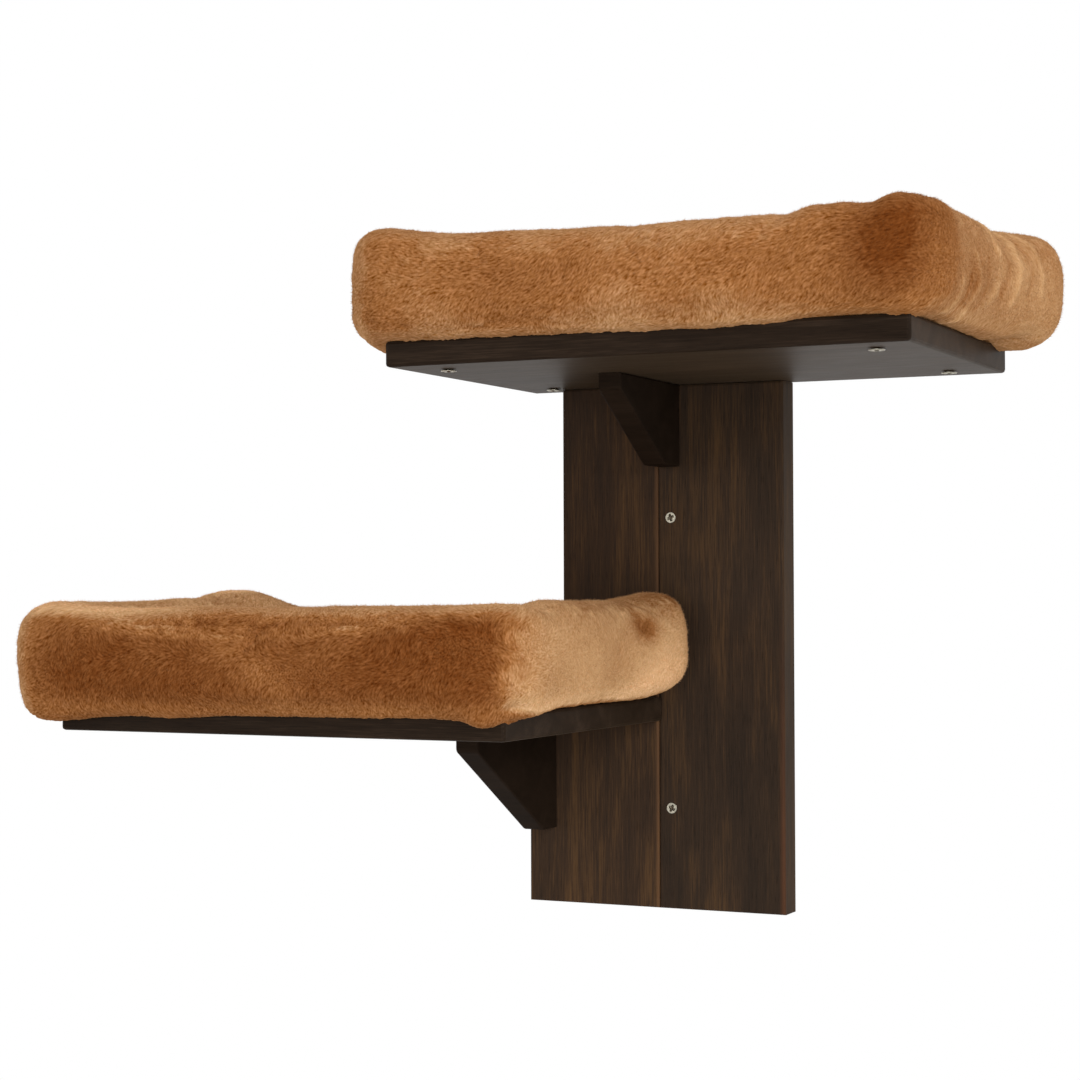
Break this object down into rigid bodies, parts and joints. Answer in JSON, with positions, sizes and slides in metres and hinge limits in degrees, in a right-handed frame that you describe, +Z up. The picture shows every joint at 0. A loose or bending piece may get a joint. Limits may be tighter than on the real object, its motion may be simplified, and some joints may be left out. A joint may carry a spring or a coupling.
{
  "type": "cat wall shelf",
  "caption": "Wall-mounted cat shelf: a stepped walnut plate carries an upper board to the right and a lower board to the left, each on a triangular bracket with a plush bolster bed.",
  "frame": {"origin": "on the wall plane, midway between the two wall screws, on the back face of the wall plate", "axes": "+Z up, +X to the right along the wall as seen from the room, +Y into the wall, so the front faces -Y"},
  "size_m": [0.7698, 0.3789, 0.5411],
  "materials": {
    "walnut_left_stave": "dark walnut stain, satin",
    "walnut_right_stave": "dark walnut stain, satin",
    "walnut_board": "near-black walnut stain, satin",
    "beech": "plain turned beech",
    "plywood": "plain birch plywood",
    "zinc_plated_steel": "zinc-plated, slightly dull",
    "plush": "short soft pile, golden brown, brushed lighter and darker"
  },
  "bodies": {
    "root": {"wall_plate_left_stave": "walnut_left_stave", "wall_plate_right_stave": "walnut_right_stave", "wall_plate_dowel_upper": "beech", "wall_plate_dowel_middle": "beech", "wall_plate_dowel_lower": "beech", "upper_shelf_board": "walnut_board", "lower_shelf_board": "walnut_board", "upper_bracket": "walnut_board", "lower_bracket": "walnut_board", "upper_board_screw_left": "zinc_plated_steel", "upper_board_screw_middle": "zinc_plated_steel", "upper_board_screw_right": "zinc_plated_steel", "lower_board_screw_left": "zinc_plated_steel", "lower_board_screw_middle": "zinc_plated_steel", "lower_board_screw_right": "zinc_plated_steel", "upper_bracket_screw_top": "zinc_plated_steel", "upper_bracket_screw_back": "zinc_plated_steel", "lower_bracket_screw_top": "zinc_plated_steel", "lower_bracket_screw_back": "zinc_plated_steel", "wall_screw_upper": "zinc_plated_steel", "wall_screw_lower": "zinc_plated_steel", "upper_bed_base_panel": "plywood", "lower_bed_base_panel": "plywood", "upper_bed_screw_front_left": "zinc_plated_steel", "upper_bed_screw_front_right": "zinc_plated_steel", "upper_bed_screw_rear_left": "zinc_plated_steel", "upper_bed_screw_rear_right": "zinc_plated_steel", "lower_bed_screw_front_left": "zinc_plated_steel", "lower_bed_screw_front_right": "zinc_plated_steel", "lower_bed_screw_rear_left": "zinc_plated_steel", "lower_bed_screw_rear_right": "zinc_plated_steel", "upper_bed_bolster": "plush", "lower_bed_bolster": "plush", "upper_bed_pad": "plush", "lower_bed_pad": "plush"}
  },
  "joints": []
}
